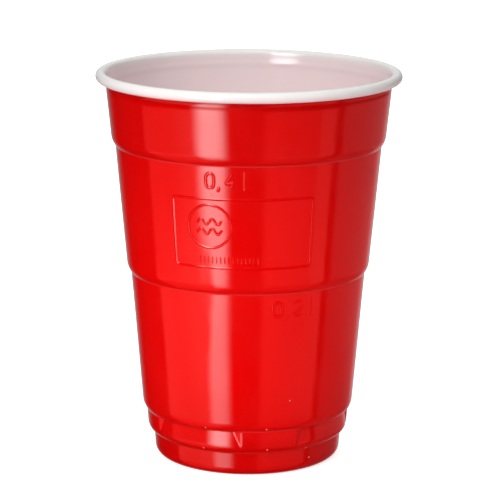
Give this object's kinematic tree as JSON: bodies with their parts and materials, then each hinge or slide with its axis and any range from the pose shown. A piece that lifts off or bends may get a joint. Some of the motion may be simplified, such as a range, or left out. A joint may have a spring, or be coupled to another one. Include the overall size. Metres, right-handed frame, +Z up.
{
  "type": "plastic party cup",
  "caption": "Tall tapered drinking cup of thin moulded plastic sheet, red outside and white inside, with stepped walls and a rolled rim",
  "frame": {"origin": "centre of the foot, on the plane that the cup stands on", "axes": "+Z up along the cup's axis; -Y is the side that faces the camera, with the volume figures"},
  "size_m": [0.095, 0.095, 0.1223],
  "materials": {
    "cup": "glossy red sheet outside, white inside and on the rolled rim"
  },
  "bodies": {
    "root": {"cup": "cup"}
  },
  "joints": []
}
